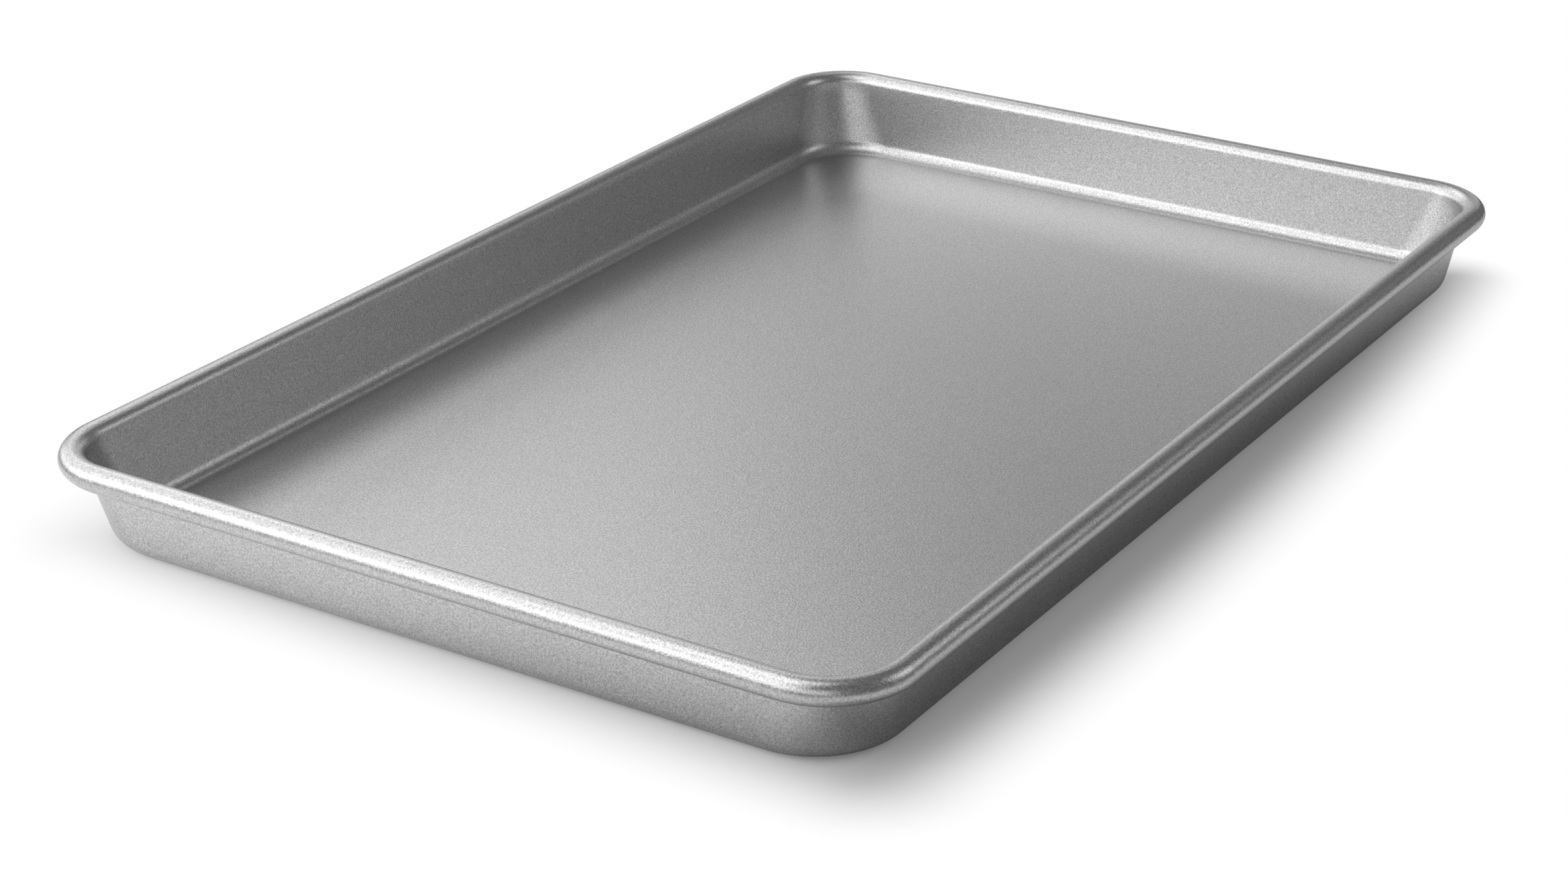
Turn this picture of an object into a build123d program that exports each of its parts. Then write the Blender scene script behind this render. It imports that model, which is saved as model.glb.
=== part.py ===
"""Jelly roll pan: one pressed steel sheet with sloped walls and a rolled rim, and the wire inside the rim.

Frame: origin at the middle of the underside, +X along the long side, +Z up, millimetres.
"""
from build123d import *
import math
import os

# Outside sizes over the rolled rim
pan_length = 432.0
pan_width = 280.0
pan_height = 30.0

# The sheet and its walls
sheet = 1.0
wall_draft = 6.0            # degrees from upright, along the straight sides
floor_fillet = 4.8          # inside radius where the floor turns up into the wall
floor_corner = 22.0         # radius, seen from above, at the corners of the flat floor

# The rolled rim
roll_diameter = 8.0
rim_corner = 26.0           # outer radius of the rim's corners, seen from above
curl_gap = 0.3              # between the curl's edge and the wall that it closes on

# The wire that the rim is rolled round
wire_clearance = 0.2        # all round, inside the roll
wire_end_gap = 3.0          # between the wire's two ends, in the middle of a long side

# One overrun serves every cut
overrun = 5.0

# The roll's section, measured from its centre line
roll_radius = roll_diameter / 2
bore_radius = roll_radius - sheet
roll_height = pan_height - roll_radius
draft = math.radians(wall_draft)

# The roll's centre line, seen from above: a rounded rectangle
line_half_length = pan_length / 2 - roll_radius
line_half_width = pan_width / 2 - roll_radius
line_corner = rim_corner - roll_radius
corner_x = line_half_length - line_corner
corner_y = line_half_width - line_corner


def inset(face_distance, height):
    """How far a wall face lies inside the roll's centre line, at a height.

    The face is straight and passes the roll's centre at face_distance.
    """
    return face_distance / math.cos(draft) + (roll_height - height) * math.tan(draft)


def roll_section():
    """The rim's closed section: the top of the wall, the curl, and back to the wall's outside."""
    edge_turn = math.degrees(math.acos((bore_radius - curl_gap) / roll_radius))
    start = 180 - wall_draft
    sweep = edge_turn - 360

    centre = (0, roll_height)
    outer_arc = CenterArc(centre, roll_radius, start, sweep)
    inner_arc = CenterArc(centre, bore_radius, start, sweep)
    wall_inside = (-inset(roll_radius, roll_height), roll_height)
    wall_outside = (-inset(bore_radius, roll_height), roll_height)

    edges = [
        Line(wall_inside, outer_arc @ 0),
        outer_arc,
        Line(outer_arc @ 1, inner_arc @ 1),
        inner_arc,
        Line(inner_arc @ 0, wall_outside),
        Line(wall_outside, wall_inside),
    ]
    return Plane.XZ * make_face(edges)


def wire_section():
    """The round section of the wire, in the middle of the roll's bore."""
    return Plane.XZ * Pos(0, roll_height) * Circle(bore_radius - wire_clearance)


def round_the_rim(section):
    """Carry a section all the way round the rim's centre line, as four straights and four quarter turns."""
    face = Pos(line_corner, 0, 0) * section
    quarter = revolve(face, Axis.Z, 90)
    pieces = []
    for turn, side_x, side_y in ((0, 1, 1), (90, -1, 1), (180, -1, -1), (270, 1, -1)):
        corner = Pos(side_x * corner_x, side_y * corner_y, 0)
        pieces.append(corner * Rot(0, 0, turn) * quarter)
        along_long_side = turn in (90, 270)
        half_run = corner_x if along_long_side else corner_y
        middle = Pos(0, side_y * corner_y, 0) if along_long_side else Pos(side_x * corner_x, 0, 0)
        pieces.append(middle * Rot(0, 0, turn) * extrude(face, half_run, both=True))
    return pieces[0].fuse(*pieces[1:])


def corner_radius(height):
    """The wall's outer corner radius at a height: it grows evenly from the rim down to the floor."""
    fillet_run = (floor_fillet + sheet) * (1 - math.sin(draft)) / math.cos(draft)
    at_foot = floor_corner + fillet_run
    at_rim = line_corner - inset(bore_radius, roll_height)
    return at_foot + (at_rim - at_foot) * height / roll_height


def tub(face_distance, bottom, top, fillet_radius):
    """A solid tub with sloped walls, its bottom edge rounded.

    Both faces of the sheet turn round the same corner centres, so the inner face's radius is smaller by the
    sheet's thickness.
    """
    step = (face_distance - bore_radius) / math.cos(draft)
    outlines = []
    for height in (bottom, top):
        half_length = line_half_length - inset(face_distance, height)
        half_width = line_half_width - inset(face_distance, height)
        outline = RectangleRounded(2 * half_length, 2 * half_width, corner_radius(height) - step)
        outlines.append(Pos(0, 0, height) * outline)
    solid = loft(outlines, ruled=True)
    foot = solid.faces().sort_by(Axis.Z)[0]
    return fillet(foot.edges(), fillet_radius)


def make_pan_shell():
    """The pressed sheet: floor, sloped walls and the curl, in one piece."""
    outside = tub(bore_radius, 0, roll_height, floor_fillet + sheet)
    inside = tub(roll_radius, sheet, roll_height + overrun, floor_fillet)
    return (outside - inside).fuse(round_the_rim(roll_section()))


def make_rim_wire():
    """The reinforcing wire, bent once round the rim, its ends nearly meeting."""
    wire = round_the_rim(wire_section())
    cut = Box(wire_end_gap, roll_diameter + overrun, roll_diameter + overrun)
    return wire - Pos(0, -line_half_width, roll_height) * cut


def main():
    os.makedirs("parts", exist_ok=True)
    pieces = {"pan_shell": make_pan_shell(), "rim_wire": make_rim_wire()}
    for node, shape in pieces.items():
        solids = shape.solids()
        solid = solids[0]
        box = solid.bounding_box()
        print(f"{node}: solids {len(solids)}, volume {solid.volume:.0f} mm3, valid {solid.is_valid}")
        print(f"  from {box.min} to {box.max}")
        export_step(solid, f"parts/{node}.step")


main()
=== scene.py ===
# %% [markdown]
# # A jelly roll pan
#
# This lesson dresses a shallow baking pan: one steel sheet, pressed into a tray, with its edge rolled
# round a wire. The frame that it starts from is the measured model. Everything below is in metres, in
# that frame: X runs along the long side, Z points up, and the pan stands on Z = 0.

# %% Load the measured model
import math

import bmesh
import bpy
from mathutils import Matrix, Vector


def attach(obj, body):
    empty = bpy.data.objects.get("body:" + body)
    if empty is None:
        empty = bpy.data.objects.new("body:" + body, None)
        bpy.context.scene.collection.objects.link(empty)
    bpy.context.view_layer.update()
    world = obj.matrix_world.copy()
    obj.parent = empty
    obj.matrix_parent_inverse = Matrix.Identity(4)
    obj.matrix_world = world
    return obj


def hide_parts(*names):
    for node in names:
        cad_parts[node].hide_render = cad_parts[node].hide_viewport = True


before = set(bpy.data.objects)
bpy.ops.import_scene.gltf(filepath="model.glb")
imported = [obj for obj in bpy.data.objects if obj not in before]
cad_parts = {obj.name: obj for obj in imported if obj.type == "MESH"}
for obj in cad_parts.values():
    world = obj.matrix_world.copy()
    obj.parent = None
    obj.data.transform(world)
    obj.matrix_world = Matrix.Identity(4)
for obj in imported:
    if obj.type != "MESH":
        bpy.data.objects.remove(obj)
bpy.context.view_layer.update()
print("nodes:", sorted(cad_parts))

# %% [markdown]
# ## The pan's own sizes
#
# A finish or a highlight can't look right on a shape that is a little wrong, so the sheet is drawn from
# the same few sizes that a press tool would be made to: the rim, the roll, the draft of the walls and the
# two fillets.

# %% Sizes of the pan
MM = 0.001
PAN_LENGTH = 432 * MM
PAN_WIDTH = 280 * MM
PAN_HEIGHT = 30 * MM
SHEET = 1 * MM
WALL_DRAFT = math.radians(6)
FLOOR_FILLET = 4.8 * MM
FLOOR_CORNER = 22 * MM
ROLL_RADIUS = 4 * MM
RIM_CORNER = 26 * MM
CURL_GAP = 0.3 * MM

BORE_RADIUS = ROLL_RADIUS - SHEET
ROLL_HEIGHT = PAN_HEIGHT - ROLL_RADIUS
LINE_CORNER = RIM_CORNER - ROLL_RADIUS


def inset(face_distance, height):
    """How far a wall face lies inside the roll's centre line, at a height."""
    return face_distance / math.cos(WALL_DRAFT) + (ROLL_HEIGHT - height) * math.tan(WALL_DRAFT)


def arc(centre, radius, start, end, steps):
    """Points on an arc, from one angle to another, both in radians."""
    angles = [start + (end - start) * i / steps for i in range(steps + 1)]
    return [(centre[0] + radius * math.cos(a), centre[1] + radius * math.sin(a)) for a in angles]


# %% [markdown]
# ## The sheet's section
#
# Cut the rim across and you see one line of metal: flat floor, a small fillet, the sloped wall, then nearly
# a full turn over the wire and back against the wall. The section could be traced by hand, but it is all
# arcs and straight lines that touch smoothly, so a few lines of arithmetic draw it better. Each point is
# (out from the roll's centre line, height).

# %% Draw the section
FLAT_STRIP = 3 * MM
FILLET_STEPS = 16
WALL_STEPS = 14
ROLL_STEPS = 72
EDGE_STEPS = 6
BORE_STEPS = 48


def sheet_section():
    """The closed outline of the sheet's thickness, open only towards the middle of the floor."""
    up_wall = math.pi - WALL_DRAFT
    edge = up_wall + math.acos((BORE_RADIUS - CURL_GAP) / ROLL_RADIUS) - 2 * math.pi
    fillet_radius = FLOOR_FILLET + SHEET
    reach = BORE_RADIUS + fillet_radius + (ROLL_HEIGHT - fillet_radius) * math.sin(WALL_DRAFT)
    fillet_centre = (-reach / math.cos(WALL_DRAFT), fillet_radius)
    roll_centre = (0, ROLL_HEIGHT)
    middle_radius = BORE_RADIUS + SHEET / 2
    edge_middle = (middle_radius * math.cos(edge), ROLL_HEIGHT + middle_radius * math.sin(edge))

    inner_fillet = arc(fillet_centre, FLOOR_FILLET, -math.pi / 2, -WALL_DRAFT, FILLET_STEPS)
    over_roll = arc(roll_centre, ROLL_RADIUS, up_wall, edge, ROLL_STEPS)
    round_edge = arc(edge_middle, SHEET / 2, edge, edge - math.pi, EDGE_STEPS)[1:-1]
    in_bore = arc(roll_centre, BORE_RADIUS, edge, up_wall, BORE_STEPS)
    outer_fillet = arc(fillet_centre, fillet_radius, -WALL_DRAFT, -math.pi / 2, FILLET_STEPS)

    def wall(start, end):
        """Evenly spaced points between two others, without the two."""
        shares = [i / WALL_STEPS for i in range(1, WALL_STEPS)]
        return [(start[0] + (end[0] - start[0]) * s, start[1] + (end[1] - start[1]) * s) for s in shares]

    points = [(fillet_centre[0] - FLAT_STRIP, SHEET)] + inner_fillet
    points += wall(inner_fillet[-1], over_roll[0]) + over_roll + round_edge + in_bore
    points += wall(in_bore[-1], outer_fillet[0]) + outer_fillet
    points.append((fillet_centre[0] - FLAT_STRIP, 0))
    return points, -fillet_centre[0]


section, floor_inset = sheet_section()
print("section points:", len(section), "flat floor starts", round(floor_inset / MM, 2), "mm inside the roll")

# %% [markdown]
# ## Sums in a node tree
#
# Geometry Nodes and shaders both work out numbers with Math nodes, and a page of those is hard to read. The
# first class below wraps a socket, so that an ordinary Python sum adds the nodes. The second wraps the tree
# and adds any other node in one line.

# %% Two classes for node trees


class Signal:
    """A socket of a node tree. Sums of signals and numbers add Math nodes."""

    def __init__(self, graph, socket):
        self.graph = graph
        self.socket = socket

    def maths(self, operation, *others):
        """One Math node on this signal and others."""
        values = dict(enumerate((self,) + others))
        return self.graph.node("ShaderNodeMath", {"operation": operation}, values)

    def __add__(self, other):
        return self.maths("ADD", other)

    def __radd__(self, other):
        return self.maths("ADD", other)

    def __sub__(self, other):
        return self.maths("SUBTRACT", other)

    def __rsub__(self, other):
        return self.graph.node("ShaderNodeMath", {"operation": "SUBTRACT"}, {0: other, 1: self})

    def __mul__(self, other):
        return self.maths("MULTIPLY", other)

    def __truediv__(self, other):
        return self.maths("DIVIDE", other)

    def vector(self, operation, *others):
        """One Vector Math node on this signal and others."""
        values = dict(enumerate((self,) + others))
        return self.graph.node("ShaderNodeVectorMath", {"operation": operation}, values)


class Graph:
    """A node tree, with short ways to add nodes to it."""

    def __init__(self, tree):
        self.tree = tree

    def node(self, kind, settings=None, values=None, out=0):
        """Add a node, set its settings, then its sockets, and give back one of its outputs."""
        node = self.tree.nodes.new(kind)
        for name, value in (settings or {}).items():
            setattr(node, name, value)
        for key, value in (values or {}).items():
            self.feed(node.inputs[key], value)
        return Signal(self, node.outputs[out])

    def feed(self, socket, value):
        """Link a signal to a socket, or set the socket's own value."""
        if isinstance(value, Signal):
            self.tree.links.new(value.socket, socket)
        else:
            socket.default_value = value

    def surface(self, shader):
        """Make a shader the material's surface."""
        self.feed(self.tree.nodes.new("ShaderNodeOutputMaterial").inputs["Surface"], shader)

    def noise(self, place, scale, detail=0.0):
        """A cloudy pattern in space: a higher scale makes it finer."""
        return self.node("ShaderNodeTexNoise", None, {"Vector": place, "Scale": scale, "Detail": detail})

    def colour_between(self, factor, low, high):
        """The colour that lies a share of the way from one to another."""
        # A Mix node has sockets for several kinds of value; 6, 7 and the third output are the colours.
        return self.node("ShaderNodeMix", {"data_type": "RGBA"}, {"Factor": factor, 6: low, 7: high}, out=2)


def start_material(name):
    """An empty material, its graph, and the surface's own coordinates."""
    material = bpy.data.materials.new(name)
    material.use_nodes = True
    material.node_tree.nodes.clear()
    graph = Graph(material.node_tree)
    return material, graph, graph.node("ShaderNodeTexCoord", None, None, out="Object")


print("helpers:", Signal.__name__, Graph.__name__, start_material.__name__)

# %% [markdown]
# ## Sweep the sheet round the rim
#
# The pan's shape follows one rule: the same section all the way round a rounded rectangle. Pushing and
# pulling a box would never keep the roll round, so Geometry Nodes carry the section round instead. One
# thing is not plain sweeping: the press makes the floor's corners rounder than the rim's, so the lower the
# metal lies in a corner, the further its corner's centre moves in along the diagonal.

# %% The sweep, as a tree of nodes
SHIFT_EASE = 0.08


def build_sweep():
    """A tree that sweeps the object's own outline round a rounded rectangle."""
    tree = bpy.data.node_groups.new("sheet swept round the rim", "GeometryNodeTree")
    face = tree.interface
    face.new_socket(name="Section", in_out="INPUT", socket_type="NodeSocketGeometry")
    for name in ("Line Length", "Line Width", "Line Corner", "Roll Height", "Corner Shift"):
        face.new_socket(name=name, in_out="INPUT", socket_type="NodeSocketFloat")
    face.new_socket(name="Corner Steps", in_out="INPUT", socket_type="NodeSocketInt")
    face.new_socket(name="Finish", in_out="INPUT", socket_type="NodeSocketMaterial")
    face.new_socket(name="Pan", in_out="OUTPUT", socket_type="NodeSocketGeometry")
    graph = Graph(tree)
    given = tree.nodes.new("NodeGroupInput").outputs
    size = {name: Signal(graph, given[name]) for name in given.keys() if name}

    rectangle = graph.node("GeometryNodeCurvePrimitiveQuadrilateral", None,
                           {"Width": size["Line Length"], "Height": size["Line Width"]})
    line = graph.node("GeometryNodeFilletCurve", {"mode": "POLY"},
                      {"Curve": rectangle, "Count": size["Corner Steps"], "Radius": size["Line Corner"]})

    corner_x = size["Line Length"] * 0.5 - size["Line Corner"]
    corner_y = size["Line Width"] * 0.5 - size["Line Corner"]
    corner = graph.node("ShaderNodeCombineXYZ", None, {"X": corner_x, "Y": corner_y})
    place = graph.node("GeometryNodeInputPosition")
    quadrant = place.vector("SIGN")
    centre = quadrant.vector("MULTIPLY", corner)
    outward = place.vector("SUBTRACT", centre).vector("NORMALIZE")

    capture = tree.nodes.new("GeometryNodeCaptureAttribute")
    capture.capture_items.new("VECTOR", "outward")
    graph.feed(capture.inputs["Geometry"], line)
    graph.feed(capture.inputs["outward"], outward)
    kept_line = Signal(graph, capture.outputs["Geometry"])
    kept_outward = Signal(graph, capture.outputs["outward"])
    turned = graph.node("GeometryNodeSetCurveNormal", {"mode": "FREE"},
                        {"Curve": kept_line, "Normal": kept_outward})

    outline = graph.node("GeometryNodeMeshToCurve", None, {0: size["Section"]})
    swept = graph.node("GeometryNodeCurveToMesh", None, {"Curve": turned, "Profile Curve": outline})

    height = graph.node("ShaderNodeSeparateXYZ", None, {0: place}, out=2)
    depth = (size["Roll Height"] - height).maths("MAXIMUM", 0.0) / size["Roll Height"]
    # The shift starts gently below the roll, so that the wall has no crease there.
    shift = depth * depth * (1 + SHIFT_EASE) / (depth + SHIFT_EASE) * size["Corner Shift"]
    diagonal = kept_outward.vector("SUBTRACT", quadrant).vector("MULTIPLY", (1, 1, 0))
    scaled = graph.node("ShaderNodeVectorMath", {"operation": "SCALE"}, {0: diagonal, "Scale": shift})
    moved = graph.node("GeometryNodeSetPosition", None, {"Geometry": swept, "Offset": scaled})

    smooth = graph.node("GeometryNodeSetShadeSmooth", None, {"Geometry": moved})
    whole = graph.node("GeometryNodeRealizeInstances", None, {"Geometry": smooth})
    dressed = graph.node("GeometryNodeSetMaterial", None, {"Geometry": whole, "Material": size["Finish"]})
    graph.feed(tree.nodes.new("NodeGroupOutput").inputs["Pan"], dressed)
    return tree


sweep = build_sweep()
print("sweep tree:", len(sweep.nodes), "nodes,", len(sweep.links), "links")

# %% [markdown]
# ## The finish: grey metallic non-stick coating
#
# The coating is a satin metallic paint over steel. Up close it is full of fine flakes. Some are darker than
# others, and each is tipped a little its own way, so the coating glitters faintly and its highlights have
# soft, grainy edges. Two noises make the flakes, one coarser and one finer, because a single size would
# look like a printed pattern. They drive the colour and the bump alike. A third, cloudy and much larger,
# keeps the roughness from being the same everywhere.

# %% Mix the coating
FLAKE_SCALE = 1800.0
FINE_FLAKE_SCALE = 5200.0
CLOUD_SCALE = 14.0
DARK_FLAKE = (0.16, 0.16, 0.16, 1)
BRIGHT_FLAKE = (1, 1, 1, 1)
FLAKE_TILT = 0.06 * MM
SMOOTHEST = 0.29


def coating_material():
    """Satin silver-grey metallic coating with a fine flake."""
    material, graph, place = start_material("metallic non-stick coating")
    fine = graph.noise(place, FINE_FLAKE_SCALE)
    grain = graph.noise(place, FLAKE_SCALE)
    cloud = graph.noise(place, CLOUD_SCALE, detail=3.0)

    base = graph.colour_between(grain * 0.5 + fine * 0.5, DARK_FLAKE, BRIGHT_FLAKE)
    roughness = SMOOTHEST + cloud * 0.04
    bump = graph.node("ShaderNodeBump", None,
                      {"Height": grain * 0.6 + fine * 0.4, "Distance": FLAKE_TILT, "Strength": 1.0})
    shader = graph.node("ShaderNodeBsdfPrincipled", None,
                        {"Base Color": base, "Metallic": 1.0, "Roughness": roughness, "Normal": bump})
    graph.surface(shader)
    return material


coating = coating_material()
print("coating:", len(coating.node_tree.nodes), "nodes")

# %% [markdown]
# ## Make the pan
#
# The section goes in as a mesh of edges, the tree turns it into the rim, walls and fillets, and two flat
# faces close the floor. The result is kept as a plain mesh, because the modifier has done its work.

# %% Sweep the section and close the floor
CORNER_STEPS = 40
WELD_DISTANCE = 0.002 * MM


def foot_shift():
    """How far the floor corner's centre lies inside the rim corner's, along X and along Y."""
    return FLOOR_CORNER - (LINE_CORNER - floor_inset)


def make_pan():
    """The pressed sheet as one closed mesh."""
    outline = bpy.data.meshes.new("sheet section")
    points = [(out, -height, 0) for out, height in section]
    outline.from_pydata(points, [(i, i + 1) for i in range(len(points) - 1)], [])
    drawn = bpy.data.objects.new("sheet section", outline)
    bpy.context.scene.collection.objects.link(drawn)

    modifier = drawn.modifiers.new("sweep", "NODES")
    modifier.node_group = sweep
    chosen = {
        "Line Length": PAN_LENGTH - 2 * ROLL_RADIUS,
        "Line Width": PAN_WIDTH - 2 * ROLL_RADIUS,
        "Line Corner": LINE_CORNER,
        "Roll Height": ROLL_HEIGHT,
        "Corner Shift": foot_shift(),
        "Corner Steps": CORNER_STEPS,
        "Finish": coating,
    }
    for item in sweep.interface.items_tree:
        if item.name in chosen:
            modifier[item.identifier] = chosen[item.name]
    evaluated = drawn.evaluated_get(bpy.context.evaluated_depsgraph_get())
    mesh = bpy.data.meshes.new_from_object(evaluated)
    bpy.data.objects.remove(drawn)

    work = bmesh.new()
    work.from_mesh(mesh)
    bmesh.ops.remove_doubles(work, verts=work.verts, dist=WELD_DISTANCE)
    open_edges = [edge for edge in work.edges if edge.is_boundary]
    bmesh.ops.edgeloop_fill(work, edges=open_edges, mat_nr=0, use_smooth=True)
    bmesh.ops.recalc_face_normals(work, faces=work.faces)
    volume = work.calc_volume(signed=True)
    open_left = sum(edge.is_boundary for edge in work.edges)
    work.to_mesh(mesh)
    work.free()
    print("pan faces:", len(mesh.polygons))
    print("volume:", round(volume / MM ** 3), "mm3, open edges:", open_left)

    mesh.name = "pan_sheet"
    pan = bpy.data.objects.new("pan_sheet", mesh)
    bpy.context.scene.collection.objects.link(pan)
    return pan


pan = make_pan()
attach(pan, "root")
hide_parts("pan_shell")

# %% [markdown]
# ## The wire in the rim
#
# The wire is hidden, but a part has to be right where it can't be seen too. Its shape from the measured
# model is exact, so only its finish is made: drawn steel with a faint, uneven grain.

# %% Finish the wire
STREAK_SCALE = 1500.0
STREAK_DEPTH = 0.02 * MM
DULL_STEEL = (0.45, 0.45, 0.46, 1)
BRIGHT_STEEL = (0.62, 0.62, 0.63, 1)


def wire_material():
    """Drawn steel wire with a faint, uneven grain."""
    material, graph, place = start_material("drawn steel wire")
    streak = graph.noise(place, STREAK_SCALE, detail=3.0)
    base = graph.colour_between(streak, DULL_STEEL, BRIGHT_STEEL)
    roughness = 0.35 + streak * 0.15
    bump = graph.node("ShaderNodeBump", None, {"Height": streak, "Distance": STREAK_DEPTH, "Strength": 0.6})
    shader = graph.node("ShaderNodeBsdfPrincipled", None,
                        {"Base Color": base, "Metallic": 1.0, "Roughness": roughness, "Normal": bump})
    graph.surface(shader)
    return material


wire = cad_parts["rim_wire"]
wire.data.materials.clear()
wire.data.materials.append(wire_material())
print("wire:", wire.data.materials[0].name)

# %% [markdown]
# ## Camera
#
# The camera stands where the photograph's did. Its place, its lens and the small sideways shift came from
# fitting the rim's outline, so they are written as the fit gave them.

# %% Place the camera
PHOTO_WIDTH, PHOTO_HEIGHT = 2362, 1314
AZIMUTH = math.radians(-58.65)
ELEVATION = math.radians(24.09)
ROLL = math.radians(0.26)
DISTANCE = 997.1 * MM
AIM = Vector((-23.16, -16.6, 0)) * MM
FOCAL_PIXELS = 4838.8
AXIS_PIXEL = (1271.9, 650.3)


def place_camera():
    """A camera at the photograph's place, looking the photograph's way."""
    back = Vector((math.sin(AZIMUTH) * math.cos(ELEVATION), -math.cos(AZIMUTH) * math.cos(ELEVATION),
                   math.sin(ELEVATION)))
    level = Vector((math.cos(AZIMUTH), math.sin(AZIMUTH), 0))
    upright = back.cross(level)
    right = level * math.cos(ROLL) + upright * math.sin(ROLL)
    up = upright * math.cos(ROLL) - level * math.sin(ROLL)

    data = bpy.data.cameras.new("camera")
    data.sensor_fit = "HORIZONTAL"
    data.sensor_width = 36
    data.lens = FOCAL_PIXELS / PHOTO_WIDTH * data.sensor_width
    data.shift_x = (PHOTO_WIDTH / 2 - AXIS_PIXEL[0]) / PHOTO_WIDTH
    data.shift_y = (AXIS_PIXEL[1] - PHOTO_HEIGHT / 2) / PHOTO_WIDTH
    data.clip_start = 0.05
    camera = bpy.data.objects.new("camera", data)
    bpy.context.scene.collection.objects.link(camera)
    turn = Matrix((right, up, back)).transposed()
    camera.matrix_world = Matrix.Translation(AIM + back * DISTANCE) @ turn.to_4x4()
    return camera


camera = place_camera()
bpy.context.scene.camera = camera
print("lens:", round(camera.data.lens, 2), "mm")

# %% [markdown]
# ## The table
#
# A metal pan shows its surroundings more than itself, so the surroundings come before the lamps. The pan
# stands on matt white paper. Beside the pan, the lamps draw its soft shadow on the paper. Further out, the
# paper fades to a plain white of its own, a painted glow, so that it has no edge against the background. The
# fade follows the pan's foot, but it starts sooner at the front, towards the left and far sides, and at the
# ends of the long sides. That leaves the shadow widest beside the right side, which the window's light
# doesn't reach, so where the shadow ends is painted by the fade, not set by the lamps. Even inside the
# shadow, the camera sees a tenth of the painted white on the paper.
#
# The metal mirrors the paper too. It would look too bright in the wall that faces away from the window, so
# the
# mirrored paper gets a painted shade: dimmer on the right (-Y) side, whiter towards the left; the camera
# sees none.
#
# The paper has a window under the pan and is clear from below, so that the underside can be looked at too.

# %% White paper with a window under the pan
FOOT_LENGTH = 406 * MM
FOOT_WIDTH = 254 * MM
WINDOW_MARGIN = 12 * MM
PAPER_MARGIN = 150 * MM
PAPER_WHITE = 0.9

# The painted fade from shadow to white: where it starts and how wide it is, measured from the pan's foot
SHADOW_SHIFT = (2.5 * MM, 0, 0)
SHADOW_LEAN = (0.03, 0.03, 0)
SHADOW_BOW = 0.25
SHADOW_REACH = 12.5 * MM
SHADOW_FADE = 37 * MM
SHADOW_FLOOR = 0.1

# How white the mirrored paper is, a painted shade in the reflections: a small step beside the right wall,
# then a slow rise to the left (+Y)
STEP_FROM, STEP_TO = -137 * MM, -122 * MM
SHARE_RIGHT, SHARE_MIDDLE = 0.5, 0.62
RISE_FROM, RISE_TO = -120 * MM, 40 * MM
SHARE_RISE = 0.36


def paper_material():
    """Matt white paper that keeps the pan's shadow and is plain white beyond it."""
    material, graph, place = start_material("white paper")
    core = (FOOT_LENGTH / 2 - SHADOW_SHIFT[0], FOOT_WIDTH / 2, 0)
    past_core = place.vector("SUBTRACT", SHADOW_SHIFT).vector("ABSOLUTE").vector("SUBTRACT", core)
    distance = graph.node("ShaderNodeVectorMath", {"operation": "LENGTH"},
                          {0: past_core.vector("MAXIMUM", (0, 0, 0))}, out="Value")
    from_near_corner = place.vector("ADD", (FOOT_LENGTH / 2, FOOT_WIDTH / 2, 0))
    lean = graph.node("ShaderNodeVectorMath", {"operation": "DOT_PRODUCT"},
                      {0: from_near_corner, 1: SHADOW_LEAN}, out="Value")
    along, across = [graph.node("ShaderNodeSeparateXYZ", None, {0: place}, out=axis) for axis in (0, 1)]
    bow = along * along * SHADOW_BOW
    # Painted light: past this shaped outline the paper glows white, and SHADOW_FLOOR leaves a tenth of that
    # glow inside the shadow
    past_shadow = graph.node("ShaderNodeMapRange", {"interpolation_type": "SMOOTHSTEP"},
                             {"Value": distance + lean + bow, "From Min": SHADOW_REACH,
                              "From Max": SHADOW_REACH + SHADOW_FADE, "To Min": SHADOW_FLOOR})
    camera_ray, glossy_ray, glass_ray = [graph.node("ShaderNodeLightPath", None, None, out=name) for name in
                                         ("Is Camera Ray", "Is Glossy Ray", "Is Transmission Ray")]
    step = graph.node("ShaderNodeMapRange", {"interpolation_type": "SMOOTHSTEP"},
                      {"Value": across, "From Min": STEP_FROM, "From Max": STEP_TO,
                       "To Min": SHARE_RIGHT, "To Max": SHARE_MIDDLE})
    rise = graph.node("ShaderNodeMapRange", None,
                      {"Value": across, "From Min": RISE_FROM, "From Max": RISE_TO,
                       "To Min": 0.0, "To Max": SHARE_RISE})
    # Painted shade in the reflections: to glossy and glass rays the paper is darker and less white on the
    # right (-Y) side
    side = step + rise
    mirrored = glossy_ray.maths("MAXIMUM", glass_ray)
    white_share = camera_ray.maths("MAXIMUM", mirrored * side * past_shadow) * past_shadow
    shade = mirrored * (1.0 - side)
    paper = graph.node("ShaderNodeBsdfDiffuse", None, {"Color": (1.0 - shade) * PAPER_WHITE})
    white = graph.node("ShaderNodeEmission", None, {"Color": (1, 1, 1, 1), "Strength": 1.0})
    top = graph.node("ShaderNodeMixShader", None, {0: white_share, 1: paper, 2: white})
    below = graph.node("ShaderNodeNewGeometry", None, None, out="Backfacing")
    nothing = graph.node("ShaderNodeBsdfTransparent")
    graph.surface(graph.node("ShaderNodeMixShader", None, {0: below * camera_ray, 1: top, 2: nothing}))
    return material


def make_table():
    """The paper, as a ring of four faces round the window."""
    outer, inner = [[(x * (FOOT_LENGTH / 2 + margin), y * (FOOT_WIDTH / 2 + margin), 0)
                     for x, y in ((-1, -1), (1, -1), (1, 1), (-1, 1))]
                    for margin in (PAPER_MARGIN, -WINDOW_MARGIN)]
    faces = [(i, (i + 1) % 4, 4 + (i + 1) % 4, 4 + i) for i in range(4)]
    mesh = bpy.data.meshes.new("table")
    mesh.from_pydata(outer + inner, [], faces)
    mesh.materials.append(paper_material())
    table = bpy.data.objects.new("table", mesh)
    bpy.context.scene.collection.objects.link(table)
    return table


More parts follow.
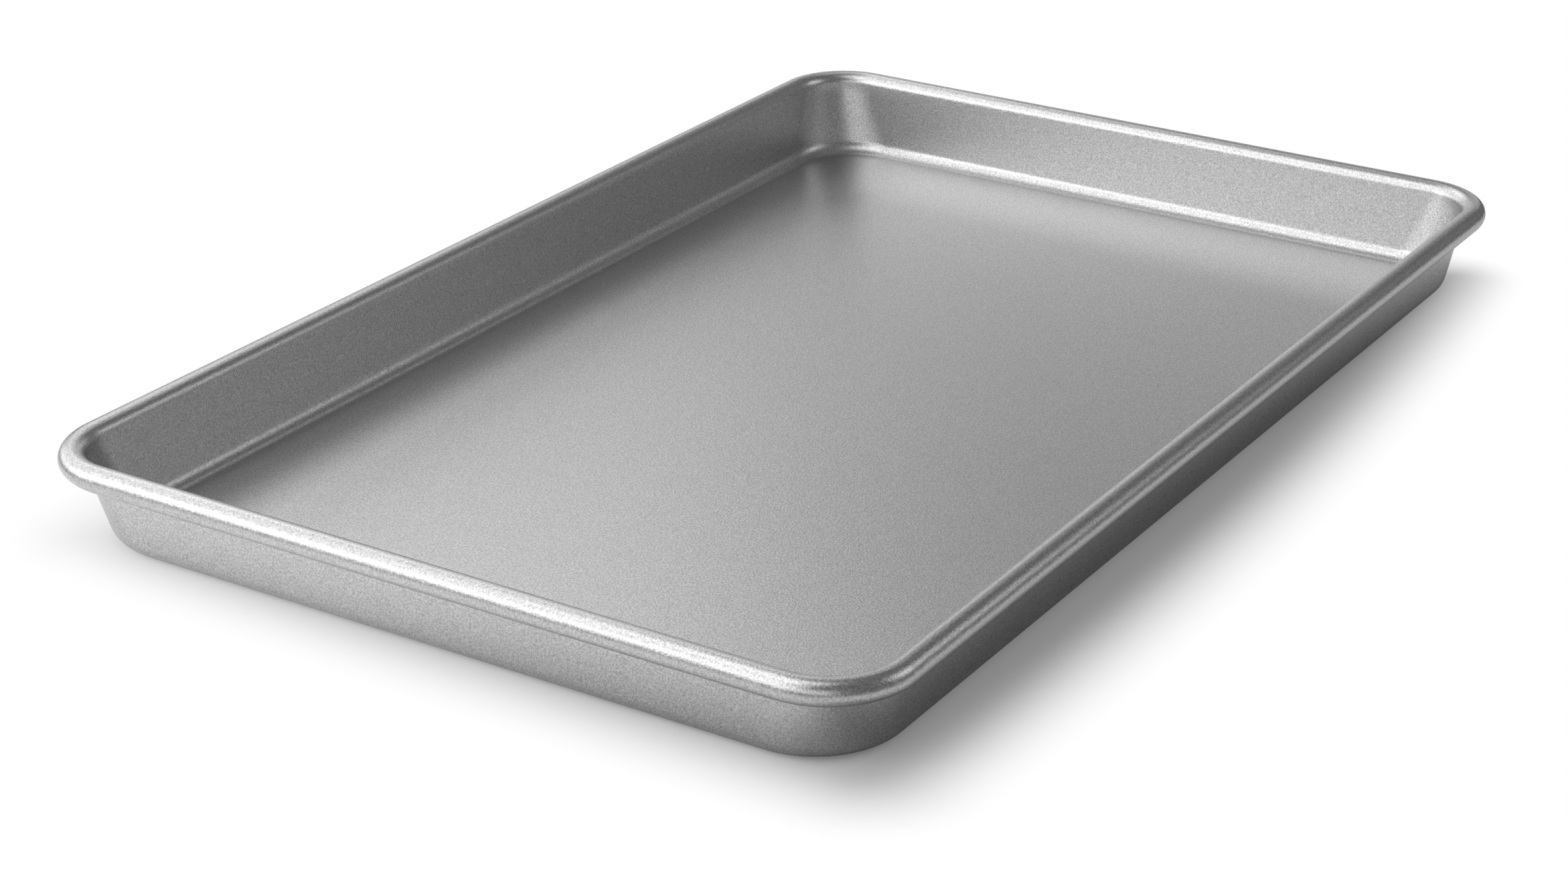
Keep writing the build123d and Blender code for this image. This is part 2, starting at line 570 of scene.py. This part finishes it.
table = make_table()
print("table faces look up:", all(face.normal.z > 0.99 for face in table.data.polygons))

# %% [markdown]
# ## The room
#
# The background is white, but only to the camera. To the pan the room is dim, so that the lamps and the
# paper do the lighting. That is what draws its form: the roll and the fillets show thin bright and dark
# lines, where an evenly white room would leave them flat.

# %% A dim room with a white background
ROOM_LIGHT = 0.17


def make_room():
    """A world that is white to the camera and dim for everything else."""
    world = bpy.data.worlds.new("studio")
    bpy.context.scene.world = world
    world.use_nodes = True
    tree = world.node_tree
    tree.nodes.clear()
    graph = Graph(tree)
    camera_ray = graph.node("ShaderNodeLightPath", None, None, out="Is Camera Ray")
    light = graph.node("ShaderNodeBackground", None,
                       {"Color": (1, 1, 1, 1), "Strength": camera_ray.maths("MAXIMUM", ROOM_LIGHT)})
    graph.feed(tree.nodes.new("ShaderNodeOutputWorld").inputs["Surface"], light)
    return world


room = make_room()
print("room:", room.name, "at", ROOM_LIGHT)

# %% [markdown]
# ## The lamps
#
# Soft lamps are large rectangles. Each is placed by where it stands as seen from the pan: its direction,
# counted from +X towards +Y, and its height, both in degrees.
#
# The very large one on the left does the work of a window: it lights the floor and the front of the pan.
# The other lamps are weak. Three more on the left brighten the back wall and the rim, the one in front adds
# to the walls that face it, the right one lifts the wall in shadow, and the three behind the pan draw thin
# bright lines along its roll and fillets.

# %% Soft lamps


def softbox(name, turn, height, distance, size, power):
    """A rectangular lamp that faces the pan: degrees, metres and watts."""
    data = bpy.data.lights.new(name, "AREA")
    data.shape = "RECTANGLE"
    data.size, data.size_y = size
    data.energy = power
    lamp = bpy.data.objects.new(name, data)
    bpy.context.scene.collection.objects.link(lamp)
    lamp.visible_camera = False
    turn, height = math.radians(turn), math.radians(height)
    level = math.cos(height)
    way = Vector((math.cos(turn) * level, math.sin(turn) * level, math.sin(height)))
    facing = way.to_track_quat("Z", "Y").to_matrix().to_4x4()
    lamp.matrix_world = Matrix.Translation(way * distance) @ facing
    return lamp


lamps = [
    softbox("left wall", 115, 36, 1.5, (3.6, 2.0), 25.5),
    softbox("left low", 135, 24, 1.4, (0.9, 0.4), 2.0),
    softbox("left lowest", 112, 12, 1.4, (2.0, 0.3), 1.0),
    softbox("left high", 154, 70, 1.4, (0.8, 0.8), 2.2),
    softbox("front", 190, 17, 1.4, (1.3, 0.5), 2.0),
    softbox("right", 300, 30, 1.4, (0.8, 0.6), 1.55),
    softbox("back", 50, 36, 1.4, (0.7, 0.5), 1.06),
    softbox("back low", 30, 14, 1.4, (1.6, 0.4), 1.35),
    softbox("back high", 30, 52, 1.4, (0.6, 0.5), 0.55),
]
bpy.context.scene.view_settings.view_transform = "Standard"
print("lamps:", [lamp.name for lamp in lamps])
